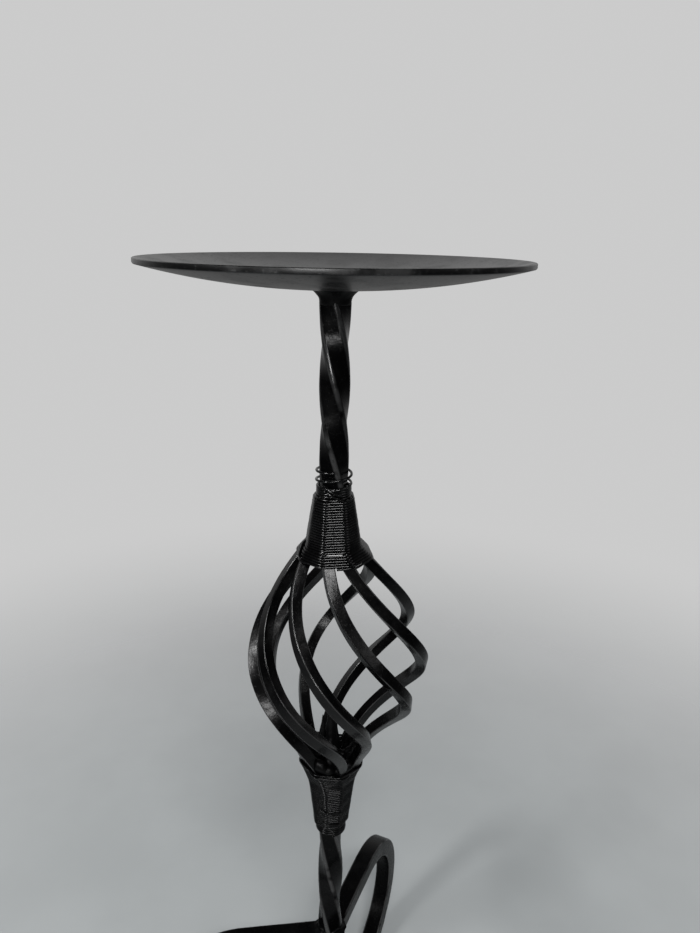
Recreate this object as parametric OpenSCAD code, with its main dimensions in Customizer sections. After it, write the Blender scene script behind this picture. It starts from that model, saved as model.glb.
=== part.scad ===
// Wrought iron pillar candle stand: a dished pan on a twisted bar, a cage of eight
// twisted bars bound with wire at both ends, and three scroll feet.
// Millimetres, +Z up, the origin on the floor under the stem.

/* [Pan] */
// Width of the pan across its rim
pan_d = 150; // [120:1:190]
// Height of the pan from its underside to its rim
pan_h = 11; // [8:0.5:18]
// Thickness of the pan's sheet
pan_t = 2; // [1.5:0.1:3.5]
// Width of the flat seat in the middle of the pan
seat_d = 14; // [12:1:60]
// Height of the weld neck under the pan
neck_h = 5.5; // [3:0.5:9]
// How far the weld neck spreads beyond the stem where it meets the pan
neck_spread = 8; // [2:0.5:12]

/* [Stem] */
// Width of the square stem bar across its flats
stem_w = 10.4; // [8:0.2:13]
// Rounding of the stem bar's corners
stem_round = 2.2; // [1:0.1:3]
// Free length of the upper stem, from the binding to the weld neck
upper_stem_len = 75.5; // [50:0.5:110]
// Free length of the lower stem, from the feet to the lower binding
lower_stem_len = 71; // [45:0.5:100]
// Length of the upper stem in which it turns a quarter
upper_quarter = 32; // [24:1:60]
// Length of the lower stem in which it turns a quarter
lower_quarter = 40; // [24:1:60]
// Direction in which a flat of each stem faces at its free end
stem_turn = 44; // [0:1:89]
// Length of stem that reaches into each end of the cage
stem_reach = 24; // [16:1:30]

/* [Cage] */
// Thickness of the cage's square bars
bar_a = 5; // [4:0.1:6]
// Share of a bar's thickness that is taken off each of its corners
bar_corner = 0.16; // [0.08:0.01:0.24]
// Height of the cage between its two bindings
cage_h = 108.5; // [90:0.5:150]
// Distance from the axis to the middle of a bar at the belly
belly_r = 38.8; // [28:0.2:46]
// Height of the belly above the lower binding
belly_h = 55.5; // [40:0.5:70]
// Turn of the bars about the axis from the upper binding to the lower
cage_turn = 140; // [90:1:180]
// Direction in which the first pair of bars faces at the upper binding
first_pair_angle = -85.5; // [-90:0.5:0]
// Angle between the two bars of a pair in the bindings
pair_angle = 33; // [31:0.5:38]
// Roundness of the cage's shoulder, where a low number is a fuller one
shoulder = 1.05; // [0.9:0.05:1.4]
// Roundness of the cage's lower taper, where a high number is a longer one
taper = 2.35; // [1.6:0.05:2.6]
// How far the belly leans off the axis to the right
belly_right = 2.4; // [0:0.1:3]
// How far the belly leans off the axis to the back
belly_back = 0.5; // [0:0.1:3]
// How far bars lean off their even places at mid-height, as the smith left them
lean_angle = 5.5; // [0:0.5:8]
// Thickness of the bars' drawn-out tips
tip_t = 0.9; // [0.7:0.1:2]
// Width of the bars' drawn-out tips
tip_w = 3; // [2:0.1:4]
// How far a tip stops short of the binding's outer end
tip_back = 5; // [3:0.5:8]
// Length inside the upper binding over which the bars begin to spread
upper_flare = 4.5; // [3:0.5:10]
// Length inside the lower binding over which the bars begin to spread
lower_flare = 17; // [8:0.5:22]

/* [Bindings] */
// Thickness of the binding wire
wire_d = 1.1; // [0.9:0.05:1.4]
// Space from one turn of the upper binding to the next
upper_space = 0.45; // [0.45:0.05:1]
// Space from one turn of the lower binding to the next
lower_space = 0.8; // [0.5:0.05:1]
// Height of the tight turns of the upper binding
upper_bind_h = 31.5; // [28:0.5:42]
// Height of the tight turns of the lower binding
lower_bind_h = 43; // [36:0.5:50]
// Number of loose turns above the upper binding
loose_turns = 2; // [1:1:3]
// Rise of one loose turn
loose_rise = 3.7; // [2.5:0.1:5]

/* [Welds] */
// Depth of weld metal under the end of the upper stem
upper_core_h = 6; // [3:0.5:7]
// Height to which weld metal stands up above the lower binding
lower_core_rise = 26; // [15:1:40]
// Width of the weld bead round the foot of the stem
bead = 3; // [2:0.5:4]

/* [Feet] */
// Height of the feet, from the floor to their top
foot_h = 91.5; // [70:0.5:120]
// Thickness of the foot bar
foot_t = 10; // [7:0.5:12]
// Width of the foot bar
foot_w = 10; // [7:0.5:11]
// Straight run of a foot from the axis to its bend
foot_run = 46; // [35:0.5:70]
// Outer radius of the upper bend
foot_r = 48; // [40:0.5:55]
// Outer radius of the curled end
curl_r = 30; // [24:0.5:34]
// Turn of the curled end past the point that stands on the floor
curl_turn = 105; // [60:1:120]
// Thickness of the curled end's drawn-out tip
curl_tip = 4.5; // [3:0.5:7]
// Depth of the flat that each foot stands on
foot_flat = 0.4; // [0.2:0.1:1]
// Direction of the first foot
first_foot = 65.5; // [0:0.5:119]

/* [Fits] */
// Space between parts that lie against each other
fit_gap = 0.1; // [0.05:0.05:0.2]

/* [Hidden] */

iron = [0.09, 0.09, 0.095];
iron_lit = [0.13, 0.13, 0.135];
weld_grey = [0.17, 0.165, 0.16];

bars = 8;
pairs = bars / 2;
feet = 3;
bar_step = 360 / bars;
pair_step = 360 / pairs;

// Levels from the floor up
low_bind_z0 = foot_h + lower_stem_len;
low_bind_z1 = low_bind_z0 + lower_bind_h;
up_bind_z0 = low_bind_z1 + cage_h;
up_bind_z1 = up_bind_z0 + upper_bind_h;
stem_top_z = up_bind_z1 + upper_stem_len;
pan_z = stem_top_z + neck_h;
spread_low_z = low_bind_z1 - lower_flare;
spread_top_z = up_bind_z0 + upper_flare;
belly_z = low_bind_z1 + belly_h;
tip_low_z = low_bind_z0 + tip_back;
tip_top_z = up_bind_z1 - tip_back;
stem_low_z = up_bind_z1 - stem_reach;
stem_high_z = low_bind_z0 + stem_reach;

// The bars begin to turn once they have left the stem by this length
turn_start = 2;
turn_low_z = spread_low_z + turn_start;
turn_top_z = spread_top_z - turn_start;

// Distance from the axis to the stem's rounded corner
corner_r = stem_w / sqrt(2) - stem_round * (sqrt(2) - 1);

function clamp01(x) = min(1, max(0, x));
function unit(v) = v / norm(v);

// The cage bars: how full a bar is drawn, from 0 at a tip to 1
function full(z) = min(
    clamp01((tip_top_z - z) / (tip_top_z - up_bind_z0)),
    clamp01((z - tip_low_z) / (low_bind_z1 - tip_low_z)));
function bar_t(z) = tip_t + (bar_a - tip_t) * full(z);
function bar_w(z) = tip_w + (bar_a - tip_w) * full(z);
// How far the cage has opened at a height, from 0 against the stem to 1 at the belly
function lobe(z) = z >= spread_top_z || z <= spread_low_z ? 0
    : z > belly_z ? pow(sin(90 * (spread_top_z - z) / (spread_top_z - belly_z)), shoulder)
    : pow(sin(90 * (z - spread_low_z) / (belly_z - spread_low_z)), taper);
function turned(z) = clamp01((turn_top_z - z) / (turn_top_z - turn_low_z));

// Two bars lie side by side on each side of the stem, and each leaves its pair as the cage opens
function pair_half(z) = (bar_step - (bar_step - pair_angle) * pow(1 - lobe(z), 2)) / 2;
function lie_r(z) = (corner_r + fit_gap + bar_t(z) / 2) / cos(pair_angle / 2);
function bar_r(z) = lie_r(z) + (belly_r - lie_r(z)) * lobe(z);
function pair_azimuth(k, z) = first_pair_angle + pair_step * floor(k / 2) + cage_turn * turned(z);
// Which way each bar leans
lean_side = [0, -1, -1, 1, 1, -1, 1, 0];
function bar_azimuth(k, z) = pair_azimuth(k, z) + (k % 2 == 0 ? -1 : 1) * pair_half(z)
    + lean_angle * lean_side[k] * sin(180 * turned(z));
function cage_centre(z) = [belly_right, belly_back] * lobe(z);
function bar_point(k, z) = let (a = bar_azimuth(k, z), c = cage_centre(z))
    [c.x + bar_r(z) * cos(a), c.y + bar_r(z) * sin(a), z];

// A square bar's section with its corners taken off
function bar_section(w, t) = let (c = min(w, t) * bar_corner, x = w / 2, y = t / 2)
    [[x - c, y], [x, y - c], [x, c - y], [x - c, -y], [c - x, -y], [-x, c - y], [-x, y - c], [c - x, y]];

// Triangles of a tube whose rings follow one another, with both ends closed
function tube_faces(rings, sides) = concat(
    [for (i = [0 : rings - 2], k = [0 : sides - 1]) each
        [[i * sides + k, (i + 1) * sides + k, i * sides + (k + 1) % sides],
         [(i + 1) * sides + k, (i + 1) * sides + (k + 1) % sides, i * sides + (k + 1) % sides]]],
    [for (k = [1 : sides - 2]) [0, k, k + 1]],
    [for (k = [1 : sides - 2]) let (e = (rings - 1) * sides) [e, e + k + 1, e + k]]);

tail_steps = 4;
cage_steps = 36;
bar_levels = concat(
    [for (i = [0 : tail_steps - 1]) tip_top_z + (spread_top_z - tip_top_z) * i / tail_steps],
    [for (i = [0 : cage_steps]) spread_top_z + (spread_low_z - spread_top_z) * i / cage_steps],
    [for (i = [1 : tail_steps]) spread_low_z + (tip_low_z - spread_low_z) * i / tail_steps]);

// Height each way over which a bar's direction is taken
aim_h = bar_a / 10;
// Both bars of a pair keep facing the way that their pair does
function bar_ring(k, z) =
    let (p = bar_point(k, z),
         along = unit(bar_point(k, z - aim_h) - bar_point(k, z + aim_h)),
         a = pair_azimuth(k, z),
         out = [cos(a), sin(a), 0],
         face = unit(out - (out * along) * along),
         side = cross(along, face))
    [for (s = bar_section(bar_w(z), bar_t(z))) p + side * s.x + face * s.y];

module cage_bar(k) {
    sides = 8;
    color(iron)
        polyhedron(points = [for (z = bar_levels) each bar_ring(k, z)],
                   faces = tube_faces(len(bar_levels), sides), convexity = 8);
}

// The wire lies flat on each pair of bars and runs straight across to the next pair
function on_bars(z) = z > tip_low_z && z < tip_top_z;
function pair_front(z) = on_bars(z) ? bar_r(z) * cos(pair_half(z)) + bar_t(z) / 2 : corner_r;
function pair_slant(z) = on_bars(z)
    ? (pair_front(z) + bar_r(z) * sin(pair_half(z)) + bar_w(z) / 2) / sqrt(2) : corner_r;
// The wire clears the bars over a little height each way, where they lean
clear_h = 1.4 * wire_d;
function widest(z) = [for (f = [[for (s = [-1 : 1]) pair_front(z + s * clear_h)],
                                [for (s = [-1 : 1]) pair_slant(z + s * clear_h)]])
    max(f) + wire_d / 2 + fit_gap];
wire_rings = 16;
wire_sides = 6;
// Points of a quarter turn, seen from the pair: its front, its corner, the slant and the next corner
function wire_quarter(d) = let (y = d[1] * sqrt(2) - d[0], s = d[1] / sqrt(2))
    [[d[0], 0], [d[0], -y], [s, -s], [y, -d[0]]];
function wire_azimuth(i, z) = pair_azimuth(0, z) - i * 360 / wire_rings;
function wire_point(i, z) =
    let (c = cage_centre(z),
         p = wire_quarter(widest(z))[i % 4],
         a = pair_azimuth(0, z) - pair_step * floor(i / 4))
    [c.x + p.x * cos(a) - p.y * sin(a), c.y + p.x * sin(a) + p.y * cos(a), z];
// Height at a number of turns down from the top, with the loose turns first
function wire_level(n, top, loose, pitch) =
    top - (n < loose ? loose_rise * n : loose_rise * loose + pitch * (n - loose));
function wire_path(top, loose, turns, pitch) =
    [for (i = [0 : (loose + turns) * wire_rings])
        wire_point(i, wire_level(i / wire_rings, top, loose, pitch))];
// Each cut end runs on straight for one thickness of the wire
function wire_run(path) = let (n = len(path) - 1)
    concat([path[0] + unit(path[0] - path[1]) * wire_d],
           path,
           [path[n] + unit(path[n] - path[n - 1]) * wire_d]);
function wire_ring(p, i) =
    let (a = wire_azimuth(i, p.z), out = [cos(a), sin(a), 0])
    [for (k = [0 : wire_sides - 1])
        p + (out * cos(360 * k / wire_sides) + [0, 0, 1] * sin(360 * k / wire_sides)) * wire_d / 2];
function least_gap(path) = min([for (i = [0 : len(path) - 1 - wire_rings / 2])
    min([for (j = [i + wire_rings / 2 : min(i + 3 * wire_rings / 2, len(path) - 1)])
        norm(path[i] - path[j])])]) - wire_d;

module winding(top, loose, turns, pitch, name) {
    path = wire_path(top, loose, turns, pitch);
    run = wire_run(path);
    last = len(path) - 1;
    echo(str(name, " turns ", loose + turns, ", least gap to itself ", least_gap(path)));
    polyhedron(points = [for (i = [0 : len(run) - 1]) each wire_ring(run[i], min(max(i - 1, 0), last))],
               faces = tube_faces(len(run), wire_sides), convexity = 20);
}

upper_turns = floor(upper_bind_h / (wire_d + upper_space));
lower_turns = floor(lower_bind_h / (wire_d + lower_space));

module upper_binding() {
    color(iron_lit)
        winding(up_bind_z1 + loose_turns * loose_rise, loose_turns, upper_turns,
                upper_bind_h / upper_turns, "upper binding");
}

module lower_binding() {
    color(iron_lit)
        winding(low_bind_z1, 0, lower_turns, lower_bind_h / lower_turns, "lower binding");
}

// A square bar with rounded corners, twisted a quarter over each quarter length
module twisted_bar(len, quarter) {
    steps = 40;
    corner_points = 3;
    half = stem_w / 2 - stem_round;
    section = [for (q = [0 : 3], j = [0 : corner_points - 1])
        let (a = 90 * q + 90 * j / (corner_points - 1), c = 90 * q + 45)
        half * sqrt(2) * [cos(c), sin(c)] + stem_round * [cos(a), sin(a)]];
    linear_extrude(height = len, twist = 90 * len / quarter, slices = steps) polygon(section);
}

module upper_stem() {
    len = stem_top_z - stem_low_z;
    color(iron)
        translate([0, 0, stem_low_z])
            rotate(stem_turn + 90 * len / upper_quarter) twisted_bar(len, upper_quarter);
}

module lower_stem() {
    len = stem_high_z - foot_h;
    color(iron)
        translate([0, 0, foot_h]) rotate(stem_turn) twisted_bar(len, lower_quarter);
}

// The weld neck is a hollow fillet from the pan down to the stem
module pan_weld() {
    steps = 6;
    neck_r = stem_w / 2;
    color(weld_grey)
        translate([0, 0, stem_top_z])
            rotate_extrude($fn = 48)
                polygon(concat([[0, 0]],
                    [for (i = [0 : steps]) let (a = 90 * i / steps)
                        [neck_r + neck_spread * (1 - cos(a)), neck_h * sin(a)]],
                    [[0, neck_h]]));
}

// The pan's sheet is flat in the middle and curves up to a square-cut edge
module candle_pan() {
    seat_r = seat_d / 2;
    run = pan_d / 2 - seat_r;
    rise = pan_h - pan_t;
    dish_r = (run * run + rise * rise) / (2 * rise);
    slope = 2 * atan(rise / run);
    steps = 10;
    dish = [for (i = [0 : steps]) let (a = slope * i / steps)
        [seat_r + dish_r * sin(a), dish_r * (1 - cos(a))]];
    color(iron)
        translate([0, 0, pan_z])
            rotate_extrude($fn = 96)
                polygon(concat([[0, 0]], dish,
                    [for (i = [steps : -1 : 0]) dish[i] + [0, pan_t]], [[0, pan_t]]));
}

// Weld metal that closes the bundle under the upper stem
module upper_core() {
    core_r = corner_r - bead / 3;
    color(weld_grey)
        translate([0, 0, stem_low_z - upper_core_h])
            cylinder(h = upper_core_h, r1 = core_r * 0.6, r2 = core_r, $fn = 32);
}

// Weld metal that stands up inside the cage on the end of the lower stem
module lower_core() {
    core_r = corner_r - fit_gap;
    straight = low_bind_z1 - stem_high_z;
    color(weld_grey)
        translate([0, 0, stem_high_z]) {
            cylinder(h = straight, r = core_r, $fn = 32);
            translate([0, 0, straight])
                cylinder(h = lower_core_rise, r1 = core_r, r2 = core_r / 3, $fn = 32);
        }
}

// The weld bead round the foot of the lower stem
module foot_weld() {
    steps = 4;
    inner = corner_r + fit_gap;
    color(weld_grey)
        translate([0, 0, foot_h])
            rotate_extrude($fn = 48)
                polygon(concat([[inner, 0]],
                    [for (i = [0 : steps]) let (a = 90 * i / steps)
                        [inner + bead * (1 - sin(a)), bead * (1 - cos(a))]]));
}

// A foot's outline in its own upright plane, from the axis out and back to the curl
low_r = foot_h - foot_r + foot_flat;
upper_c = [foot_run, foot_h - foot_r];
lower_c = [foot_run + foot_r - low_r, foot_h - foot_r];
curl_c = [lower_c.x, curl_r - foot_flat];
function arc(c, r, from, to, n) =
    [for (i = [0 : n]) let (a = from + (to - from) * i / n) c + r * [cos(a), sin(a)]];
function curl_arc(thick) = let (n = 14)
    [for (i = [0 : n])
        let (a = -90 - curl_turn * i / n, t = thick ? foot_t + (curl_tip - foot_t) * i / n : 0)
        curl_c + (curl_r - t) * [cos(a), sin(a)]];
function reversed(v) = [for (i = [len(v) - 1 : -1 : 0]) v[i]];

module foot_outline() {
    steps = 14;
    intersection() {
        polygon(concat(
            [[0, foot_h]], arc(upper_c, foot_r, 90, 0, steps), arc(lower_c, low_r, 0, -90, steps),
            curl_arc(false),
            reversed(curl_arc(true)),
            arc(lower_c, low_r - foot_t, -90, 0, steps), arc(upper_c, foot_r - foot_t, 0, 90, steps),
            [[0, foot_h - foot_t]]));
        square([2 * (foot_run + foot_r), foot_h]);
    }
}

// The feet meet in mitres under the stem
module foot(k) {
    reach = foot_run + foot_r + foot_w;
    color(iron)
        rotate(first_foot + k * 360 / feet)
            intersection() {
                rotate([90, 0, 0]) linear_extrude(foot_w, center = true) foot_outline();
                linear_extrude(foot_h)
                    polygon([[fit_gap, 0], [reach, -reach * tan(60)], [reach, reach * tan(60)]]);
            }
}

candle_pan();
pan_weld();
upper_stem();
upper_binding();
upper_core();
cage_bar(0);  // cage_bar_1
cage_bar(1);  // cage_bar_2
cage_bar(2);  // cage_bar_3
cage_bar(3);  // cage_bar_4
cage_bar(4);  // cage_bar_5
cage_bar(5);  // cage_bar_6
cage_bar(6);  // cage_bar_7
cage_bar(7);  // cage_bar_8
lower_core();
lower_binding();
lower_stem();
foot_weld();
foot(0);  // foot_1
foot(1);  // foot_2
foot(2);  // foot_3
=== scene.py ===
"""A wrought iron pillar candle stand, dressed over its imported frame.

Each sub-part of the stand has an operator that builds it, and the panel in the sidebar lists them.
"""

import math
import random

import bmesh
import bpy
from mathutils import Matrix, Vector, noise


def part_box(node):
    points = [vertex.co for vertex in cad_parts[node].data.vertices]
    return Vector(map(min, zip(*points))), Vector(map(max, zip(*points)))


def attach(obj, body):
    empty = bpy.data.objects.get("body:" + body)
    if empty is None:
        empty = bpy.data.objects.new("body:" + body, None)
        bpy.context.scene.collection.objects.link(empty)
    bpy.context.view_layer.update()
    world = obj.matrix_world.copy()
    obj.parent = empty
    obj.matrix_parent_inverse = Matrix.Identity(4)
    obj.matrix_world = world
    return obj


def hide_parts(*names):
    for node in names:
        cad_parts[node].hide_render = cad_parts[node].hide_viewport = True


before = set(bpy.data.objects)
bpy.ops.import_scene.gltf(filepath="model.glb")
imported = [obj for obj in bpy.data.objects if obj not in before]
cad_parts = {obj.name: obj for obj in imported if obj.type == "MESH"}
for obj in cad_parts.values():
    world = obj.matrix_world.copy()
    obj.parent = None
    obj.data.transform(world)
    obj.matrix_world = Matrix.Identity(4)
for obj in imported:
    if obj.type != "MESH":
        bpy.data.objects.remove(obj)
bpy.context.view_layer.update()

bl_info = {
    "name": "Wrought Iron Candle Stand",
    "version": (1, 0, 0),
    "blender": (4, 5, 0),
    "location": "3D View > Sidebar > Candle Stand",
    "description": "Builds a pillar candle stand with a twisted cage, wire bindings and scroll feet",
    "category": "Add Mesh",
}

MM = 0.001
BODY = "root"
BARS = 8
PAIRS = BARS // 2
FEET = 3
QUARTER = math.pi / 2
UP = Vector((0, 0, 1))
FIT_GAP = 0.1 * MM
MERGE = 0.002 * MM
SHARP = math.radians(50)
WAVE_SCALE = 420
# The mark on the corners of bars, where the paint is rubbed
WORN = "worn"

# Levels and widths that the frame gives
PAN_LOW, PAN_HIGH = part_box("candle_pan")
STEM_LOW, STEM_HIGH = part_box("upper_stem")
FOOT_STEM_LOW, FOOT_STEM_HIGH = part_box("lower_stem")
TIP_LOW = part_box("cage_bar_1")[0].z
TIP_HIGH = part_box("cage_bar_1")[1].z
CORE_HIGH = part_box("lower_core")[1].z


def spread(name, low, high):
    """Length property with a name, for sizes that a maker would change"""
    return {"name": name, "min": low * MM, "max": high * MM, "unit": "LENGTH", "subtype": "DISTANCE"}


def bend(name, low, high):
    """Angle property with a name and its range in degrees"""
    return {"name": name, "min": math.radians(low), "max": math.radians(high),
            "unit": "ROTATION", "subtype": "ANGLE"}


class StandSizes(bpy.types.PropertyGroup):
    """Sizes and angles of the stand's ironwork"""

    pan_thickness: bpy.props.FloatProperty(
        description="Thickness of the pan's sheet", default=2 * MM, **spread("Pan thickness", 1.5, 3.5))
    seat_width: bpy.props.FloatProperty(
        description="Width of the flat seat in the pan", default=14 * MM, **spread("Seat width", 12, 60))
    stem_width: bpy.props.FloatProperty(
        description="Width of the square stem across its flats", default=10.4 * MM,
        **spread("Stem width", 8, 13))
    stem_round: bpy.props.FloatProperty(
        description="Rounding of the stem's corners", default=2.2 * MM, **spread("Stem rounding", 1, 3))
    upper_quarter: bpy.props.FloatProperty(
        description="Length of upper stem that turns a quarter", default=32 * MM,
        **spread("Upper quarter", 24, 60))
    lower_quarter: bpy.props.FloatProperty(
        description="Length of lower stem that turns a quarter", default=40 * MM,
        **spread("Lower quarter", 24, 60))
    stem_turn: bpy.props.FloatProperty(
        description="Direction of a flat of each stem at its free end", default=math.radians(44),
        **bend("Stem turn", 0, 89))
    bar_thickness: bpy.props.FloatProperty(
        description="Thickness of the cage's square bars", default=5 * MM, **spread("Bar thickness", 4, 6))
    tip_thickness: bpy.props.FloatProperty(
        description="Thickness of the bars' drawn tips", default=0.9 * MM, **spread("Tip thickness", 0.7, 2))
    tip_width: bpy.props.FloatProperty(
        description="Width of the bars' drawn tips", default=3 * MM, **spread("Tip width", 2, 4))
    tip_back: bpy.props.FloatProperty(
        description="How far a tip stops short of its binding's end", default=5 * MM,
        **spread("Tip back", 3, 8))
    upper_flare: bpy.props.FloatProperty(
        description="Length inside the upper binding over which bars spread", default=4.5 * MM,
        **spread("Upper flare", 3, 10))
    lower_flare: bpy.props.FloatProperty(
        description="Length inside the lower binding over which bars spread", default=17 * MM,
        **spread("Lower flare", 8, 22))
    upper_binding: bpy.props.FloatProperty(
        description="Height of the upper binding's tight turns", default=31.5 * MM,
        **spread("Upper binding", 28, 42))
    lower_binding: bpy.props.FloatProperty(
        description="Height of the lower binding", default=43 * MM, **spread("Lower binding", 36, 50))
    belly_height: bpy.props.FloatProperty(
        description="Height of the belly above the lower binding", default=55.5 * MM,
        **spread("Belly height", 40, 70))
    belly_radius: bpy.props.FloatProperty(
        description="Distance from the axis to a bar at the belly", default=38.8 * MM,
        **spread("Belly radius", 28, 46))
    belly_lean: bpy.props.FloatVectorProperty(
        name="Belly lean", description="How far the belly leans off the axis",
        size=2, default=(2.4 * MM, 0.5 * MM), unit="LENGTH")
    shoulder: bpy.props.FloatProperty(
        name="Shoulder", description="Roundness of the cage's shoulder, fuller when low",
        default=1.05, min=0.9, max=1.4)
    taper: bpy.props.FloatProperty(
        name="Taper", description="Roundness of the cage's lower taper, longer when high",
        default=2.35, min=1.6, max=2.6)
    cage_turn: bpy.props.FloatProperty(
        description="Turn of the bars from the upper binding to the lower", default=math.radians(140),
        **bend("Cage turn", 90, 180))
    first_pair: bpy.props.FloatProperty(
        description="Direction of the first pair of bars at the upper binding", default=math.radians(-85.5),
        **bend("First pair", -90, 0))
    pair_angle: bpy.props.FloatProperty(
        description="Angle between the bars of a pair", default=math.radians(33),
        **bend("Pair angle", 31, 38))
    lean_angle: bpy.props.FloatProperty(
        description="Lean of bars off their even places", default=math.radians(5.5), **bend("Bar lean", 0, 8))
    wire_thickness: bpy.props.FloatProperty(
        description="Thickness of the binding wire", default=1.1 * MM, **spread("Wire thickness", 0.9, 1.4))
    foot_width: bpy.props.FloatProperty(
        description="Width of the foot bar", default=10 * MM, **spread("Foot width", 7, 11))
    foot_thickness: bpy.props.FloatProperty(
        description="Thickness of the foot bar", default=10 * MM, **spread("Foot thickness", 7, 12))
    foot_run: bpy.props.FloatProperty(
        description="Straight run of a foot from the axis to its bend", default=46 * MM,
        **spread("Foot run", 35, 70))
    foot_bend: bpy.props.FloatProperty(
        description="Outer radius of a foot's upper bend", default=48 * MM, **spread("Foot bend", 40, 55))
    foot_curl: bpy.props.FloatProperty(
        description="Outer radius of a foot's curled end", default=30 * MM, **spread("Foot curl", 24, 34))
    curl_tip: bpy.props.FloatProperty(
        description="Thickness of the curl's drawn tip", default=4.5 * MM, **spread("Curl tip", 3, 7))
    curl_turn: bpy.props.FloatProperty(
        description="Turn of the curled end past the floor", default=math.radians(105),
        **bend("Curl turn", 60, 120))
    foot_flat: bpy.props.FloatProperty(
        description="Depth of the flat that a foot stands on", default=0.4 * MM,
        **spread("Foot flat", 0.2, 1))
    first_foot: bpy.props.FloatProperty(
        description="Direction of the first foot", default=math.radians(65.5), **bend("First foot", 0, 119))


class StandFinish(bpy.types.PropertyGroup):
    """Colours of the paint, the floor and the backdrop"""

    paint: bpy.props.FloatVectorProperty(
        name="Paint", description="Black of the painted iron", size=3, default=(0.0008, 0.0008, 0.0009),
        subtype="COLOR")
    paint_worn: bpy.props.FloatVectorProperty(
        name="Worn paint", description="Paint where it is thin and dusty", size=3,
        default=(0.0045, 0.0045, 0.0045), subtype="COLOR")
    bare_iron: bpy.props.FloatVectorProperty(
        name="Bare iron", description="Iron that shows where the paint is rubbed", size=3,
        default=(0.09, 0.09, 0.09), subtype="COLOR")
    paint_shine: bpy.props.FloatProperty(
        name="Paint shine", description="Strength of the paint's reflection", default=0.42, min=0, max=1,
        subtype="FACTOR")
    floor: bpy.props.FloatVectorProperty(
        name="Floor", description="Colour of the floor", size=3, default=(0.37, 0.385, 0.385),
        subtype="COLOR")
    backdrop: bpy.props.FloatVectorProperty(
        name="Backdrop", description="Colour behind the stand", size=3, default=(0.6, 0.6, 0.6),
        subtype="COLOR")


# The stand's shape


def share(x):
    """x held between 0 and 1"""
    return min(1.0, max(0.0, x))


def spoke(a):
    """Level direction at an angle"""
    return Vector((math.cos(a), math.sin(a), 0))


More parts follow.
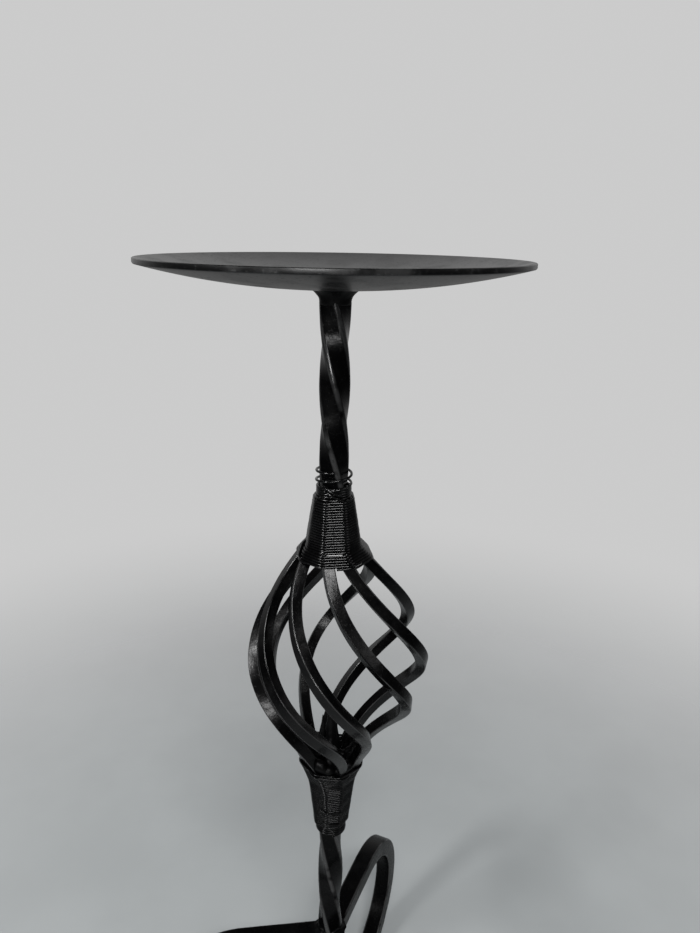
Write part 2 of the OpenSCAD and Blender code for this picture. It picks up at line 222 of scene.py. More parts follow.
class Cage:
    """Where the bars of the cage run and where the wire lies on them, as functions of the height"""

    TURN_START = 2 * MM
    LEAN_SIDE = (0, -1, -1, 1, 1, -1, 1, 0)
    # How sharply the wire bends where it leaves a pair of bars
    BEND = 36
    # Steepest slope that the spacing of the turns follows
    STEEP = 1.6

    def __init__(self, sizes):
        self.s = sizes
        self.corner_r = sizes.stem_width / math.sqrt(2) - sizes.stem_round * (math.sqrt(2) - 1)
        self.low_z0 = TIP_LOW - sizes.tip_back
        self.low_z1 = self.low_z0 + sizes.lower_binding
        self.up_z1 = TIP_HIGH + sizes.tip_back
        self.up_z0 = self.up_z1 - sizes.upper_binding
        self.spread_low = self.low_z1 - sizes.lower_flare
        self.spread_top = self.up_z0 + sizes.upper_flare
        self.belly_z = self.low_z1 + sizes.belly_height
        self.turn_low = self.spread_low + self.TURN_START
        self.turn_top = self.spread_top - self.TURN_START

    def full(self, z):
        """Share of a bar's full section that is left where its tips are drawn out"""
        top = share((TIP_HIGH - z) / (TIP_HIGH - self.up_z0))
        low = share((z - TIP_LOW) / (self.low_z1 - TIP_LOW))
        return min(top, low)

    def thick(self, z):
        return self.s.tip_thickness + (self.s.bar_thickness - self.s.tip_thickness) * self.full(z)

    def wide(self, z):
        return self.s.tip_width + (self.s.bar_thickness - self.s.tip_width) * self.full(z)

    def lobe(self, z):
        """How far the cage is open at a height, from 0 in the bindings to 1 at the belly"""
        if z >= self.spread_top or z <= self.spread_low:
            return 0.0
        if z > self.belly_z:
            part = (self.spread_top - z) / (self.spread_top - self.belly_z)
            return math.sin(QUARTER * part) ** self.s.shoulder
        part = (z - self.spread_low) / (self.belly_z - self.spread_low)
        return math.sin(QUARTER * part) ** self.s.taper

    def turned(self, z):
        """Share of the cage's turn that is done from the top down to a height"""
        return share((self.turn_top - z) / (self.turn_top - self.turn_low))

    def pair_half(self, z):
        """Half the angle between the bars of a pair, which part as the cage opens"""
        even = math.tau / BARS
        return (even - (even - self.s.pair_angle) * (1 - self.lobe(z)) ** 2) / 2

    def radius(self, z):
        lie = (self.corner_r + FIT_GAP + self.thick(z) / 2) / math.cos(self.s.pair_angle / 2)
        return lie + (self.s.belly_radius - lie) * self.lobe(z)

    def pair_azimuth(self, k, z):
        return self.s.first_pair + (k // 2) * math.tau / PAIRS + self.s.cage_turn * self.turned(z)

    def azimuth(self, k, z):
        lean = self.s.lean_angle * self.LEAN_SIDE[k] * math.sin(math.pi * self.turned(z))
        return self.pair_azimuth(k, z) + (1 if k % 2 else -1) * self.pair_half(z) + lean

    def centre(self, z):
        return Vector((*self.s.belly_lean, 0)) * self.lobe(z)

    def point(self, k, z):
        return self.centre(z) + spoke(self.azimuth(k, z)) * self.radius(z) + UP * z

    def front(self, z):
        """Distance from the axis to the flat of a pair"""
        if TIP_LOW < z < TIP_HIGH:
            return self.radius(z) * math.cos(self.pair_half(z)) + self.thick(z) / 2
        return self.corner_r

    def slant(self, z):
        """Distance from the axis to the wire that runs across from pair to pair"""
        if TIP_LOW < z < TIP_HIGH:
            out = self.front(z) + self.radius(z) * math.sin(self.pair_half(z)) + self.wide(z) / 2
            return out / math.sqrt(2)
        return self.corner_r

    def lie(self, z, a, lift=0.0):
        """Place of the wire's middle at a height and an angle, and lifted off what it lies on"""
        wire = self.s.wire_thickness
        near = [z - wire / 2, z, z + wire / 2]
        out = wire / 2 + FIT_GAP / 2
        front = max(self.front(h) for h in near) + out
        slant = max(self.slant(h) for h in near) + out
        off = (a - self.pair_azimuth(0, z) + QUARTER / 2) % QUARTER - QUARTER / 2
        flat = (math.cos(off) / front) ** self.BEND
        across = (math.cos(QUARTER / 2 - abs(off)) / slant) ** self.BEND
        r = (flat + across) ** (-1 / self.BEND)
        if z > TIP_HIGH or z < TIP_LOW:
            r = front
        return self.centre(z) + spoke(a) * (r + lift) + UP * z

    def levels(self, top, low, pitch):
        """Heights from the top down, a pitch apart along the slope of what the wire lies on"""
        heights = [top]
        aim = 0.25 * MM
        while heights[-1] > low:
            z = heights[-1]
            slope = (self.front(z + aim) - self.front(z - aim)) / (2 * aim)
            slope = max(-self.STEEP, min(self.STEEP, slope))
            heights.append(z - pitch / math.hypot(1, slope))
        return heights


def rounded_square(corner, steps=3):
    """A square of width 1 with its corners rounded, as points and how worn the paint is at each"""
    half = 0.5 - corner
    points = []
    for q in range(4):
        at = spoke((q + 0.5) * QUARTER) * half * math.sqrt(2)
        for j in range(steps + 1):
            points.append((at + spoke((q + j / steps) * QUARTER) * corner, math.sin(math.pi * j / steps)))
    return points


def placed(at, side, face, wide, thick):
    """Matrix that lays a section of width 1 at a point, with its two directions and sizes"""
    along = side.cross(face)
    turn = Matrix((side, face, along)).transposed().to_4x4()
    return Matrix.Translation(at) @ turn @ Matrix.Diagonal((wide, thick, 1, 1))


def draw_bar(bm, section, frames):
    """Draws a section along frames by extruding it from each frame to the next"""
    worn = bm.verts.layers.float.new(WORN)
    ring = []
    for point, wear in section:
        ring.append(bm.verts.new(frames[0] @ point))
        ring[-1][worn] = wear
    face = bm.faces.new(ring)
    edges = list(face.edges)
    for before, after in zip(frames, frames[1:]):
        made = bmesh.ops.extrude_edge_only(bm, edges=edges)["geom"]
        verts = [g for g in made if isinstance(g, bmesh.types.BMVert)]
        new = set(verts)
        edges = [g for g in made
                 if isinstance(g, bmesh.types.BMEdge) and g.verts[0] in new and g.verts[1] in new]
        bmesh.ops.transform(bm, matrix=after @ before.inverted(), verts=verts)
    bmesh.ops.contextual_create(bm, geom=edges)


def finished(name, bm, node, material, outward=True, crisp=False):
    """Makes the piece of a bmesh, which stands for its node; a crisp one keeps its flats flat"""
    if outward:
        bmesh.ops.recalc_face_normals(bm, faces=bm.faces)
    mesh = bpy.data.meshes.new(name)
    bm.to_mesh(mesh)
    bm.free()
    mesh.shade_smooth()
    piece = bpy.data.objects.new(name, mesh)
    bpy.context.scene.collection.objects.link(piece)
    mesh.materials.append(material)
    if crisp:
        mesh.set_sharp_from_angle(angle=SHARP)
        flats = piece.modifiers.new("Flats", "WEIGHTED_NORMAL")
        flats.keep_sharp = True
    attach(piece, BODY)
    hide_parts(node)
    return piece


def baked(piece):
    """Applies a piece's modifiers to its mesh"""
    shown = piece.evaluated_get(bpy.context.evaluated_depsgraph_get())
    mesh = bpy.data.meshes.new_from_object(shown)
    piece.modifiers.clear()
    old = piece.data
    piece.data = mesh
    bpy.data.meshes.remove(old)
    mesh.shade_smooth()


def strung(name, lines, wire):
    """Bmesh of a round wire that follows each line of points, with its ends closed"""
    curve = bpy.data.curves.new(name, "CURVE")
    curve.dimensions = "3D"
    curve.bevel_depth = wire / 2
    curve.bevel_resolution = 2
    curve.use_fill_caps = True
    for line in lines:
        spline = curve.splines.new("POLY")
        spline.points.add(len(line) - 1)
        for point, at in zip(spline.points, line):
            point.co = (*at, 1)
    shape = bpy.data.objects.new(name, curve)
    bpy.context.scene.collection.objects.link(shape)
    mesh = bpy.data.meshes.new_from_object(shape.evaluated_get(bpy.context.evaluated_depsgraph_get()))
    bm = bmesh.new()
    bm.from_mesh(mesh)
    bpy.data.objects.remove(shape)
    bpy.data.curves.remove(curve)
    bpy.data.meshes.remove(mesh)
    bmesh.ops.remove_doubles(bm, verts=bm.verts, dist=MERGE)
    return bm


def turned_shape(profile, steps, waves):
    """Bmesh of a closed profile of (radius, height) turned round the axis, with its sides left wavy"""
    bm = bmesh.new()
    verts = [bm.verts.new((r, 0, z)) for r, z in profile]
    edges = [bm.edges.new(pair) for pair in zip(verts, verts[1:])]
    bmesh.ops.spin(
        bm, geom=verts + edges, cent=(0, 0, 0), axis=UP, angle=math.tau, steps=steps, use_merge=True)
    bmesh.ops.remove_doubles(bm, verts=bm.verts, dist=MERGE)
    for vert in bm.verts:
        level = Vector((vert.co.x, vert.co.y, 0))
        if level.length > MERGE:
            vert.co += level.normalized() * waves * noise.noise(vert.co * WAVE_SCALE)
    return bm


# Materials


class Sock:
    """A shader socket that is added up as a number"""

    def __init__(self, tree, socket):
        self.tree = tree
        self.socket = socket

    def _math(self, operation, a, b):
        return self.tree.node("ShaderNodeMath", {"operation": operation}, {0: a, 1: b})

    def __add__(self, other):
        return self._math("ADD", self, other)

    def __sub__(self, other):
        return self._math("SUBTRACT", self, other)

    def __rsub__(self, other):
        return self._math("SUBTRACT", other, self)

    def __mul__(self, other):
        return self._math("MULTIPLY", self, other)

    def __pow__(self, other):
        return self._math("POWER", self, other)

    __radd__ = __add__
    __rmul__ = __mul__


class Shader:
    """A material's or a world's node tree, with one way to add any node"""

    def __init__(self, name, world=None):
        self.owner = world or bpy.data.materials.new(name)
        self.owner.use_nodes = True
        self.nodes = self.owner.node_tree.nodes
        self.links = self.owner.node_tree.links
        self.nodes.clear()
        self.out = self.nodes.new("ShaderNodeOutputWorld" if world else "ShaderNodeOutputMaterial")
        self.object = self.node("ShaderNodeTexCoord", {}, {}, "Object")

    def node(self, kind, settings, inputs, output=0):
        made = self.nodes.new(kind)
        for key, value in settings.items():
            setattr(made, key, value)
        for key, value in inputs.items():
            if isinstance(value, Sock):
                self.links.new(value.socket, made.inputs[key])
            elif isinstance(value, tuple) and len(made.inputs[key].default_value) > len(value):
                made.inputs[key].default_value = (*value, 1)
            else:
                made.inputs[key].default_value = value
        return Sock(self, made.outputs[output])

    def noise(self, scale, detail, rough):
        return self.node("ShaderNodeTexNoise", {}, {
            "Vector": self.object, "Scale": scale, "Detail": detail, "Roughness": rough}, "Fac")

    def cells(self, scale):
        return self.node("ShaderNodeTexVoronoi", {"feature": "SMOOTH_F1"}, {
            "Vector": self.object, "Scale": scale, "Smoothness": 0.6}, "Distance")

    def step(self, value, low, high):
        return self.node("ShaderNodeMapRange", {"interpolation_type": "SMOOTHSTEP"}, {
            "Value": value, "From Min": low, "From Max": high})

    def mix(self, factor, a, b):
        return self.node("ShaderNodeMix", {"data_type": "RGBA"}, {0: factor, 6: a, 7: b}, 2)

    def bump(self, height, distance, strength, normal=None):
        inputs = {"Height": height, "Distance": distance, "Strength": strength}
        if normal:
            inputs["Normal"] = normal
        return self.node("ShaderNodeBump", {}, inputs, "Normal")

    def surface(self, inputs):
        shader = self.node("ShaderNodeBsdfPrincipled", {}, inputs, "BSDF")
        self.links.new(shader.socket, self.out.inputs["Surface"])
        return self.owner


def iron_paint(name, hammer, hammer_depth, pit_depth, rough, shine, paler=1):
    """Black paint over worked iron: hammer marks, small pits, and iron that shows where it is rubbed"""
    finish = bpy.context.scene.stand_finish
    # paler lifts the worn paint; on the pan this is partly thin, dusty paint and partly a painted sheen
    worn = tuple(c * paler for c in finish.paint_worn)
    sh = Shader(name)
    blotch = sh.step(sh.noise(70, 4, 0.6), 0.45, 0.7)
    speck = sh.step(sh.noise(900, 2, 0.5), 0.58, 0.7)
    rubbed = sh.step(sh.noise(55, 3, 0.6), 0.36, 0.6)
    corner = sh.node("ShaderNodeAttribute", {"attribute_name": WORN}, {}, "Fac") ** 2
    bare = corner * rubbed
    colour = sh.mix(blotch * 0.5 + speck * 0.3, tuple(finish.paint), worn)
    roughness = blotch * (rough[1] - rough[0]) + speck * 0.1 + rough[0]
    marks = sh.cells(hammer) + sh.noise(hammer * 1.7, 2, 0.5) * 0.6
    normal = sh.bump(marks, hammer_depth, 0.6)
    normal = sh.bump(sh.noise(1100, 3, 0.6), pit_depth, 0.5, normal)
    return sh.surface({
        "Base Color": sh.mix(bare, colour, tuple(finish.bare_iron)), "Roughness": roughness, "Metallic": bare,
        "IOR": 1.5, "Specular IOR Level": finish.paint_shine * shine, "Normal": normal})


# Operators, one for each piece or group of like pieces


class STAND_OT_pan(bpy.types.Operator):
    """Builds the dished pan with its square-cut edge"""

    bl_idname = "candle_stand.pan"
    bl_label = "Pan"
    SEGMENTS = 192
    STEPS = 26
    ARRIS = 0.3 * MM

    def execute(self, context):
        s = context.scene.stand_sizes
        seat = s.seat_width / 2
        run = PAN_HIGH.x - seat
        rise = PAN_HIGH.z - PAN_LOW.z - s.pan_thickness
        dish_r = (run * run + rise * rise) / (2 * rise)
        slope = 2 * math.atan(rise / run)
        dish = []
        for i in range(self.STEPS + 1):
            a = slope * i / self.STEPS
            dish.append((seat + dish_r * math.sin(a), PAN_LOW.z + dish_r * (1 - math.cos(a))))
        over = [(r, z + s.pan_thickness) for r, z in reversed(dish)]
        (edge, low), (edge, high) = dish[-1], over[0]
        inner = edge - self.ARRIS
        cut = [(inner, low - self.ARRIS * slope), (edge, low + self.ARRIS),
               (edge, high - self.ARRIS), (inner, high - self.ARRIS * slope)]
        profile = [(0, PAN_LOW.z), *dish[:-1], *cut, *over[1:], (0, PAN_LOW.z + s.pan_thickness)]
        bm = turned_shape(profile, self.SEGMENTS, 0)
        # The pan's worn paint is six times paler: partly thin, dusty paint and partly a painted sheen and
        # reflection on the dish, above and below
        material = iron_paint("PanPaint", 30, 0.12 * MM, 0.008 * MM, (0.3, 0.38), 1, paler=6)
        finished("Pan", bm, "candle_pan", material, crisp=True)
        return {"FINISHED"}


class STAND_OT_stems(bpy.types.Operator):
    """Builds the twisted upper and lower stems"""

    bl_idname = "candle_stand.stems"
    bl_label = "Stems"
    STEPS_A_QUARTER = 28
    UNEVEN = 0.03

    def stem(self, s, name, node, low, high, turn, material):
        """A square bar between two heights, with its turn as a function of the height"""
        section = rounded_square(s.stem_round / s.stem_width, 4)
        steps = round((high - low) / s.upper_quarter * self.STEPS_A_QUARTER)
        frames = []
        for i in range(steps + 1):
            z = low + (high - low) * i / steps
            wave = self.UNEVEN * noise.noise(Vector((z * 60, low * 100, 0)))
            width = s.stem_width * (1 - self.UNEVEN / 2 + wave)
            side = spoke(turn(z))
            frames.append(placed(UP * z, side, UP.cross(side), width, width))
        bm = bmesh.new()
        draw_bar(bm, section, frames)
        return finished(name, bm, node, material, crisp=True)

    def execute(self, context):
        s = context.scene.stand_sizes
        material = iron_paint("StemPaint", 120, 0.34 * MM, 0.045 * MM, (0.18, 0.25), 0.36)
        top, foot = STEM_HIGH.z, FOOT_STEM_LOW.z
        self.stem(s, "UpperStem", "upper_stem", STEM_LOW.z, top,
                  lambda z: s.stem_turn + QUARTER * (top - z) / s.upper_quarter, material)
        dull = iron_paint("DullStemPaint", 120, 0.25 * MM, 0.03 * MM, (0.24, 0.34), 0.12)
        self.stem(s, "LowerStem", "lower_stem", foot, FOOT_STEM_HIGH.z,
                  lambda z: s.stem_turn - QUARTER * (z - foot) / s.lower_quarter, dull)
        return {"FINISHED"}


class STAND_OT_cage(bpy.types.Operator):
    """Builds the eight twisted bars of the cage"""

    bl_idname = "candle_stand.cage"
    bl_label = "Cage"
    STEPS = 150
    UNEVEN = 0.04
    ARRIS = 0.1

    def execute(self, context):
        s = context.scene.stand_sizes
        cage = Cage(s)
        section = rounded_square(self.ARRIS, 3)
        material = iron_paint("BarPaint", 140, 0.22 * MM, 0.045 * MM, (0.19, 0.27), 0.4)
        aim = s.bar_thickness / 10
        for k in range(BARS):
            frames = []
            for i in range(self.STEPS + 1):
                z = TIP_HIGH + (TIP_LOW - TIP_HIGH) * i / self.STEPS
                along = (cage.point(k, z - aim) - cage.point(k, z + aim)).normalized()
                out = spoke(cage.pair_azimuth(k, z))
                face = (out - along * out.dot(along)).normalized()
                wave = 1 - self.UNEVEN / 2 + self.UNEVEN * noise.noise(Vector((z * 70, k * 7.3, 0)))
                frames.append(placed(cage.point(k, z), face.cross(along), face,
                                     cage.wide(z) * wave, cage.thick(z) * wave))
            bm = bmesh.new()
            draw_bar(bm, section, frames)
            finished(f"CageBar{k + 1}", bm, f"cage_bar_{k + 1}", material, crisp=True)
        return {"FINISHED"}


class STAND_OT_bindings(bpy.types.Operator):
    """Winds the wire of the two bindings"""

    bl_idname = "candle_stand.bindings"
    bl_label = "Bindings"
    RINGS = 64
    LOOSE = 2
    LOOSE_RISE = 3.7 * MM
    UPPER_PITCH = 1.125 * MM
    LOWER_PITCH = 1.24 * MM
    # How deep the lower turns were hammered down on the bars' thin ends
    SINK = 0.5 * MM

    def winding(self, cage, top, low, loose, pitch, sink=0.0):
        """Points of the wire down from its top, with its loose turns first"""
        heights = cage.levels(top, low, pitch)
        tight = len(heights) - 1
        wire = cage.s.wire_thickness
        line = []
        for i in range((loose + tight) * self.RINGS + 1):
            n = i / self.RINGS
            stray = noise.noise(Vector((n * 1.3, top * 100, 0)))
            if n < loose:
                z = top + self.LOOSE_RISE * (loose - n) + wire * 0.6 * stray
                lift = wire * (0.15 + 0.5 * abs(stray))
            else:
                turn = min(int(n - loose), tight - 1)
                part = n - loose - turn
                z = heights[turn] * (1 - part) + heights[turn + 1] * part + wire * 0.06 * stray
                inner = min(1, 4 * (top - z) / (top - low), 6 * (z - low) / (top - low))
                lift = wire * 0.08 * stray - sink * max(0, inner)
            line.append(cage.lie(z, cage.s.first_pair - n * math.tau, lift))
        return line

    def strand(self, cage, start, end, lift, count=28):
        """A short length of wire laid over the turns, from one (angle, height) to another"""
        (a0, z0), (a1, z1) = start, end
        wire = cage.s.wire_thickness
        line = []
        for i in range(count + 1):
            t = i / count
            # Each end dives under its neighbours
            over = lift * wire * min(1, 5 * t, 5 * (1 - t))
            line.append(cage.lie(z0 + (z1 - z0) * t, math.radians(a0 + (a1 - a0) * t), over))
        return line

    def execute(self, context):
        s = context.scene.stand_sizes
        cage = Cage(s)
        wire = s.wire_thickness
        material = iron_paint("WirePaint", 420, 0.03 * MM, 0.015 * MM, (0.16, 0.24), 0.8)
        top, foot = cage.up_z1, cage.up_z0
        upper = [
            self.winding(cage, top, foot, self.LOOSE, self.UPPER_PITCH),
            self.strand(cage, (-122, top + 1.2 * MM), (-62, top - 3.2 * MM), 0.85),
            self.strand(cage, (-118, top - 0.6 * MM), (-70, top - 4.4 * MM), 0.85),
            self.strand(cage, (-40, top + 0.8 * MM), (-96, top - 0.4 * MM), 0.6),
            self.strand(cage, (-186, foot + 5.5 * MM), (-148, foot + 0.8 * MM), 1.1),
        ]
        bm = strung("UpperBinding", upper, wire)
        self.fill(bm, cage, foot + 0.4 * MM, foot + 26 * MM, -0.3 * wire, 0)
        finished("UpperBinding", bm, "upper_binding", material)
        top, foot = cage.low_z1, cage.low_z0 - 0.2 * MM
        lower = [
            self.winding(cage, top, foot, 0, self.LOWER_PITCH, self.SINK),
            self.strand(cage, (-138, top - 0.5 * MM), (-52, top - 2.6 * MM), 0.8),
            self.strand(cage, (-125, foot + 17 * MM), (-60, foot + 15.6 * MM), 0.2),
            self.strand(cage, (-116, foot + 9 * MM), (-64, foot + 8 * MM), 0.2),
        ]
        bm = strung("LowerBinding", lower, wire)
        self.fill(bm, cage, foot + 6 * MM, foot + 36 * MM, -0.12 * wire - self.SINK, 0.3 * wire)
        dull = iron_paint("DullWirePaint", 420, 0.02 * MM, 0.01 * MM, (0.2, 0.28), 0.3)
        finished("LowerBinding", bm, "lower_binding", dull)
        return {"FINISHED"}

    def fill(self, bm, cage, low, high, lift, patches):
        """The paint that has run in between the turns, as a sleeve that leaves their crowns bare"""
        wire = cage.s.wire_thickness
        levels = 60
        loops = []
        for j in range(levels + 1):
            z = low + (high - low) * j / levels
            ends = min(1, 6 * j / levels, 6 * (1 - j / levels))
            verts = []
            for i in range(self.RINGS):
                a = i * math.tau / self.RINGS
                patch = noise.noise(Vector((3 * math.cos(a), 3 * math.sin(a), z * 160)))
                lay = (lift + patches * patch) * ends - wire * 0.4 * (1 - ends)
                verts.append(bm.verts.new(cage.lie(z, a, lay)))
            loops.append([bm.edges.new(pair) for pair in zip(verts, verts[1:] + verts[:1])])
        for below, above in zip(loops, loops[1:]):
            bmesh.ops.bridge_loops(bm, edges=below + above)
        bmesh.ops.contextual_create(bm, geom=loops[0])
        bmesh.ops.contextual_create(bm, geom=loops[-1])


class STAND_OT_welds(bpy.types.Operator):
    """Builds the weld metal: the neck under the pan, the cores of the cage and the bead at the feet"""

    bl_idname = "candle_stand.welds"
    bl_label = "Welds"
    VOXEL = 0.4 * MM
    SEED = 11
    STEPS = 96
    NECK_WIDER = 0.2 * MM
    NECK_LOWER = 0.5 * MM
    BEAD_SHORT = 1.1 * MM

    def melted(self, name, node, lumps, material):
        """Melts round lumps, each a place, a radius and a stretch upwards, into one piece"""
        bm = bmesh.new()
        for at, radius, stretch in lumps:
            place = Matrix.Translation(at) @ Matrix.Diagonal((1, 1, stretch, 1))
            bmesh.ops.create_icosphere(bm, subdivisions=3, radius=radius, matrix=place)
        piece = finished(name, bm, node, material, outward=False)
        melt = piece.modifiers.new("Melt", "REMESH")
        melt.mode = "VOXEL"
        melt.voxel_size = self.VOXEL
        melt.use_smooth_shade = True
        soft = piece.modifiers.new("Soften", "SMOOTH")
        soft.iterations = 12
        baked(piece)
        return piece

    def fillet(self, foot_r, wide, low, high, sink):
        """Profile of a hollow fillet round the stem that is wide at its high end"""
        steps = 12
        profile = [(0, low - sink), (foot_r - sink, low - sink), (foot_r, low)]
        for i in range(1, steps + 1):
            a = QUARTER * i / steps
            profile.append((foot_r + (wide - foot_r) * (1 - math.cos(a)), low + (high - low) * math.sin(a)))
        return profile + [(0, high)]

    def neck(self, cage):
        low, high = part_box("pan_weld")
        profile = self.fillet(cage.corner_r - 0.15 * MM, high.x + self.NECK_WIDER, low.z - self.NECK_LOWER,
                              high.z + 0.3 * MM, 0.4 * MM)
        return turned_shape(profile, self.STEPS, 0.3 * MM)

    def bead(self, cage):
        low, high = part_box("foot_weld")
        flipped = self.fillet(cage.corner_r - 0.2 * MM, high.x - self.BEAD_SHORT, 0, high.z - low.z, 0.5 * MM)
        profile = [(r, high.z - z) for r, z in flipped]
        return turned_shape(profile, self.STEPS, 0.9 * MM)

    def lower_core(self, cage):
        """Drips and spatter that climb the end of the stem and run in between the bars"""
        rand = random.Random(self.SEED)
        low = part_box("lower_core")[0].z
        seat = cage.low_z1
        lumps = []
        z = low + 3 * MM
        while z < CORE_HIGH - 3 * MM:
            t = share((z - seat) / (CORE_HIGH - seat))
            lumps.append((UP * z, (5 - 3.4 * t) * MM, 1))
            z += 1.6 * MM
        for i in range(90):
            t = rand.random() ** 1.3
            z = seat - 4 * MM + (CORE_HIGH - seat) * 0.92 * t
            r = (5.6 - 4.2 * t) * MM * rand.uniform(0.7, 1.15)
            size = rand.uniform(0.6, 1.5) * (1 - 0.35 * t) * MM
            lumps.append((spoke(rand.uniform(0, math.tau)) * r + UP * z, size, rand.uniform(0.8, 2.6)))
        # A spike stands up on the left, and metal lies between each bar and the core
        for j in range(9):
            lumps.append((Vector((-4.2, -2.5, 0)) * MM + UP * (CORE_HIGH - (1.5 + 1.4 * j) * MM),
                          (0.55 + 0.1 * j) * MM, 1.6))
        for i in range(80):
            z = seat + rand.uniform(-3, 3.5) * MM
            reach = cage.radius(z) + 1.2 * MM
            r = reach * math.sqrt(rand.random())
            size = rand.uniform(2.2, 3.2) * MM
            lumps.append((cage.centre(z) + spoke(i * 2.4) * min(r, reach - size / 2) + UP * z, size,
                          rand.uniform(0.8, 1.5)))
        for k in range(BARS):
            for j in range(6):
                z = seat + (2 + j * 1.9) * MM
                at = cage.point(k, z)
                inward = (at - cage.centre(z) - UP * at.z).normalized()
                lumps.append((at - inward * rand.uniform(1.6, 3.2) * MM,
                              rand.uniform(1.2, 2.1) * (1 - 0.08 * j) * MM, rand.uniform(1, 2)))
        return lumps

    def upper_core(self, cage):
        rand = random.Random(self.SEED + 1)
        low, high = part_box("upper_core")
        lumps = []
        for i in range(16):
            r = (high.x - 2 * MM) * rand.uniform(0.2, 1)
            z = rand.uniform(low.z + 2 * MM, high.z - 2 * MM)
            lumps.append((spoke(i * 2.4) * r + UP * z, 1.9 * MM, 1))
        return lumps

    def execute(self, context):
        cage = Cage(context.scene.stand_sizes)
        material = iron_paint("WeldPaint", 160, 0.06 * MM, 0.02 * MM, (0.4, 0.5), 0.2)
        finished("PanWeld", self.neck(cage), "pan_weld", material)
        self.melted("UpperCore", "upper_core", self.upper_core(cage), material)
        self.melted("LowerCore", "lower_core", self.lower_core(cage), material)
        finished("FootWeld", self.bead(cage), "foot_weld", material)
        return {"FINISHED"}


class STAND_OT_feet(bpy.types.Operator):
    """Builds the three scroll feet"""

    bl_idname = "candle_stand.feet"
    bl_label = "Feet"
    UNEVEN = 0.02
    MITRE = math.radians(60)

    def path(self, s):
        """Outer line of a foot from the axis to its tip, as places, turns and thicknesses"""
        top = FOOT_STEM_LOW.z
        low_r = top - s.foot_bend + s.foot_flat
        bend = Vector((s.foot_run, top - s.foot_bend))
        low = Vector((s.foot_run + s.foot_bend - low_r, top - s.foot_bend))
        curl = Vector((low.x, s.foot_curl - s.foot_flat))
        line = []
        straight = 16
        for i in range(straight):
            line.append((Vector((s.foot_run * i / straight, top)), QUARTER, s.foot_thickness))
        for centre, r, start, end, n in ((bend, s.foot_bend, 90, 0, 36), (low, low_r, 0, -90, 36)):
            for i in range(n):
                a = math.radians(start + (end - start) * i / n)
                line.append((centre + Vector((math.cos(a), math.sin(a))) * r, a, s.foot_thickness))
        turns = 40
        for i in range(turns + 1):
            a = -QUARTER - s.curl_turn * i / turns
            t = s.foot_thickness + (s.curl_tip - s.foot_thickness) * i / turns
            line.append((curl + Vector((math.cos(a), math.sin(a))) * s.foot_curl, a, t))
        return line

    def execute(self, context):
        s = context.scene.stand_sizes
        material = iron_paint("FootPaint", 100, 0.2 * MM, 0.03 * MM, (0.26, 0.36), 0.12)
        section = rounded_square(0.11, 3)
        line = self.path(s)
        for k in range(FEET):
            turn = s.first_foot + math.tau * k / FEET
            out = Vector((math.cos(turn), math.sin(turn), 0))
            side = Vector((-out.y, out.x, 0))
            frames = []
            for i, (p, a, t) in enumerate(line):
                face = out * math.cos(a) + UP * math.sin(a)
                wave = 1 - self.UNEVEN / 2 + self.UNEVEN * noise.noise(Vector((i * 0.15, k * 5.1, 0)))
                at = out * p.x + UP * p.y - face * t / 2
                frames.append(placed(at, side, face, s.foot_width * wave, t))
            bm = bmesh.new()
            draw_bar(bm, section, frames)
            bmesh.ops.recalc_face_normals(bm, faces=bm.faces)
            # Each foot is mitred against its two neighbours, and its curl is cut flat on the floor
            planes = [Matrix.Rotation(turn + sign * self.MITRE, 3, "Z") @ Vector((0, sign, 0))
                      for sign in (1, -1)]
            for normal in planes + [-UP]:
                cut = bmesh.ops.bisect_plane(
                    bm, geom=bm.verts[:] + bm.edges[:] + bm.faces[:], dist=1e-7,
                    plane_co=(0, 0, 0), plane_no=normal, clear_outer=True)["geom_cut"]
                rim = [g for g in cut if isinstance(g, bmesh.types.BMEdge)]
                bmesh.ops.holes_fill(bm, edges=rim)
            finished(f"Foot{k + 1}", bm, f"foot_{k + 1}", material, crisp=True)
        return {"FINISHED"}


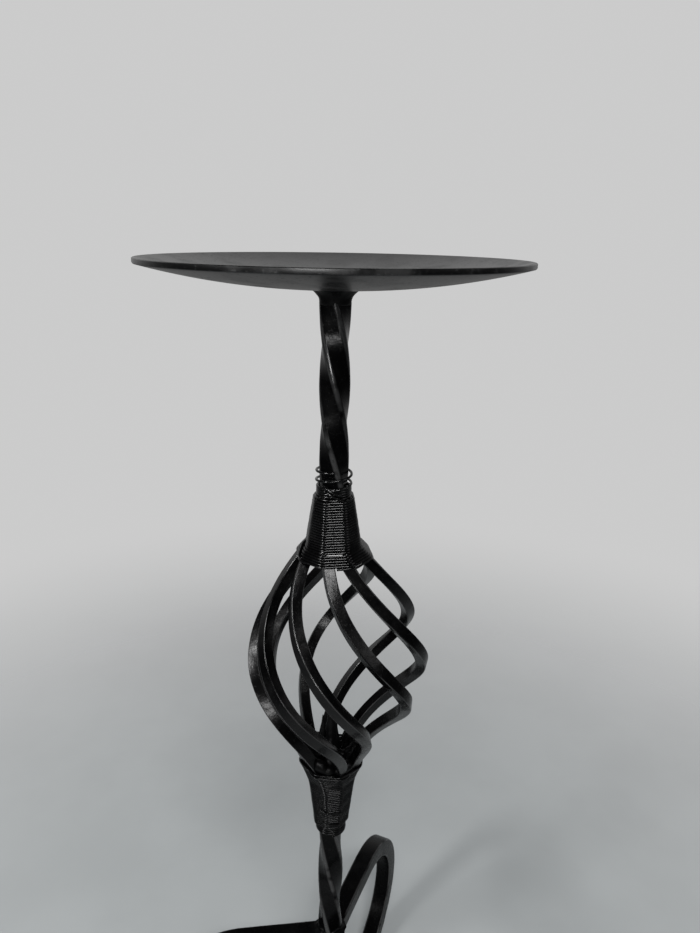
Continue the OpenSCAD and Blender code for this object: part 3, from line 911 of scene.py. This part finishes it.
class STAND_OT_stage(bpy.types.Operator):
    """Sets the floor, the soft lights, the backdrop and the camera"""

    bl_idname = "candle_stand.stage"
    bl_label = "Stage"

    # The camera stands before the pan and a little above its rim
    BACK = 278.8 * MM
    ABOVE_RIM = 9.8 * MM
    PITCH = math.radians(18.58)
    YAW = math.radians(-1.38)
    ROLL = math.radians(0.95)
    FOCAL_PX = 700
    FRAME_PX = 933
    # How bright glossy paint sees the room before the stand, below it and above it, against the wall behind
    ROOM = 0.07
    LOW = 0.4
    CEILING = 0.25
    # The floor is whole up to the first distance from the axis and gone at the second
    FLOOR_NEAR = 0.12
    FLOOR_FAR = 0.8

    def camera(self, context):
        data = bpy.data.cameras.new("StandCamera")
        data.sensor_width = 36
        data.lens = self.FOCAL_PX / self.FRAME_PX * data.sensor_width
        data.clip_start = 0.01
        ahead = Vector((-math.sin(self.YAW) * math.cos(self.PITCH), math.cos(self.YAW) * math.cos(self.PITCH),
                        -math.sin(self.PITCH)))
        right = Vector((math.cos(self.YAW), math.sin(self.YAW), 0))
        down = ahead.cross(right)
        x = right * math.cos(self.ROLL) - down * math.sin(self.ROLL)
        y = -(right * math.sin(self.ROLL) + down * math.cos(self.ROLL))
        turn = Matrix((x, y, -ahead)).transposed().to_4x4()
        camera = bpy.data.objects.new("StandCamera", data)
        camera.matrix_world = Matrix.Translation((0, -self.BACK, PAN_HIGH.z + self.ABOVE_RIM)) @ turn
        context.scene.collection.objects.link(camera)
        context.scene.camera = camera

    def lamp(self, context, name, at, target, size, watts):
        data = bpy.data.lights.new(name, "AREA")
        data.shape = "ELLIPSE"
        data.size, data.size_y = size
        data.energy = watts
        lamp = bpy.data.objects.new(name, data)
        lamp.location = at
        lamp.rotation_euler = (Vector(target) - Vector(at)).to_track_quat("-Z", "Y").to_euler()
        context.scene.collection.objects.link(lamp)

    def matte(self, mesh, finish):
        """Gives the floor its pale matte colour, which clears into the backdrop further off"""
        sh = Shader("FloorMatte")
        tint = sh.step(sh.noise(14, 3, 0.5), 0.3, 0.7)
        pale = tuple(finish.floor)
        sh.surface({"Base Color": sh.mix(tint, pale, tuple(c * 0.94 for c in pale)), "Roughness": 0.8})
        solid = sh.out.inputs["Surface"].links[0].from_socket
        away = sh.node("ShaderNodeVectorMath", {"operation": "LENGTH"}, {0: sh.object}, "Value")
        clear = sh.node("ShaderNodeBsdfTransparent", {}, {}, "BSDF")
        fade = sh.step(away, self.FLOOR_NEAR, self.FLOOR_FAR)
        sheet = sh.node("ShaderNodeMixShader", {}, {0: fade, 1: Sock(sh, solid), 2: clear})
        sh.links.new(sheet.socket, sh.out.inputs["Surface"])
        mesh.materials.append(sh.owner)

    def surroundings(self, context, finish):
        """Lights the stand evenly, and shows the backdrop to the camera and to glossy paint"""
        world = bpy.data.worlds.new("SoftStudio")
        context.scene.world = world
        sh = Shader("", world)
        camera = sh.node("ShaderNodeLightPath", {}, {}, "Is Camera Ray")
        glossy = sh.node("ShaderNodeLightPath", {}, {}, "Is Glossy Ray")
        seen = sh.node("ShaderNodeMath", {"operation": "MAXIMUM"}, {0: camera, 1: glossy})
        light = sh.node("ShaderNodeBackground", {}, {"Color": (0.9, 0.95, 1), "Strength": 0.3}, "Background")
        # In reflections the wall is pale behind the stand, and the room is dim before it, below and above
        direction = sh.node("ShaderNodeTexCoord", {}, {}, "Generated")
        back = sh.node("ShaderNodeSeparateXYZ", {}, {0: direction}, "Y")
        height = sh.node("ShaderNodeSeparateXYZ", {}, {0: direction}, "Z")
        behind = sh.step(back, 0.05, 0.9) * (1 - self.ROOM) + self.ROOM
        above = sh.step(height, -0.3, 0.05) * (1 - self.LOW) + self.LOW
        above = above * (1 - sh.step(height, 0.4, 0.75) * (1 - self.CEILING))
        strength = camera + (1 - camera) * behind * above
        backdrop = {"Color": tuple(finish.backdrop), "Strength": strength}
        wall = sh.node("ShaderNodeBackground", {}, backdrop, "Background")
        mixed = sh.node("ShaderNodeMixShader", {}, {0: seen, 1: light, 2: wall})
        sh.links.new(mixed.socket, sh.out.inputs["Surface"])

    def execute(self, context):
        finish = context.scene.stand_finish
        bm = bmesh.new()
        bmesh.ops.create_grid(bm, x_segments=1, y_segments=1, size=4)
        mesh = bpy.data.meshes.new("Floor")
        bm.to_mesh(mesh)
        bm.free()
        floor = bpy.data.objects.new("Floor", mesh)
        context.scene.collection.objects.link(floor)
        self.matte(mesh, finish)
        self.surroundings(context, finish)
        self.lamp(context, "TopLamp", (0.12, -0.85, 1.25), (0, 0, 0.3), (0.6, 0.2), 12)
        self.lamp(context, "SideLamp", (-1.0, -0.75, 0.75), (0, 0, 0.27), (0.3, 0.3), 12)
        self.lamp(context, "FillLamp", (1.1, -0.5, 0.8), (0, 0, 0.25), (0.6, 0.6), 2)
        self.lamp(context, "FrontLamp", (-0.22, -1.1, 0.36), (0, 0, 0.4), (0.5, 0.1), 4)
        self.camera(context)
        context.scene.view_settings.view_transform = "Standard"
        return {"FINISHED"}


OPERATORS = (
    STAND_OT_stage, STAND_OT_pan, STAND_OT_stems, STAND_OT_cage, STAND_OT_bindings, STAND_OT_welds,
    STAND_OT_feet)


class STAND_PT_panel(bpy.types.Panel):
    """Lists the stand's sizes, its finish and the operators that build it"""

    bl_label = "Candle Stand"
    bl_idname = "STAND_PT_panel"
    bl_space_type = "VIEW_3D"
    bl_region_type = "UI"
    bl_category = "Candle Stand"

    def draw(self, context):
        column = self.layout.column()
        for group in (context.scene.stand_sizes, context.scene.stand_finish):
            for key in group.__annotations__:
                column.prop(group, key)
        for operator in OPERATORS:
            column.operator(operator.bl_idname)


CLASSES = (StandSizes, StandFinish, *OPERATORS, STAND_PT_panel)


def register():
    for cls in CLASSES:
        bpy.utils.register_class(cls)
    bpy.types.Scene.stand_sizes = bpy.props.PointerProperty(type=StandSizes)
    bpy.types.Scene.stand_finish = bpy.props.PointerProperty(type=StandFinish)


def unregister():
    del bpy.types.Scene.stand_finish
    del bpy.types.Scene.stand_sizes
    for cls in reversed(CLASSES):
        bpy.utils.unregister_class(cls)


def main():
    register()
    for operator in OPERATORS:
        group, name = operator.bl_idname.split(".")
        getattr(getattr(bpy.ops, group), name)()


if __name__ == "__main__":
    main()
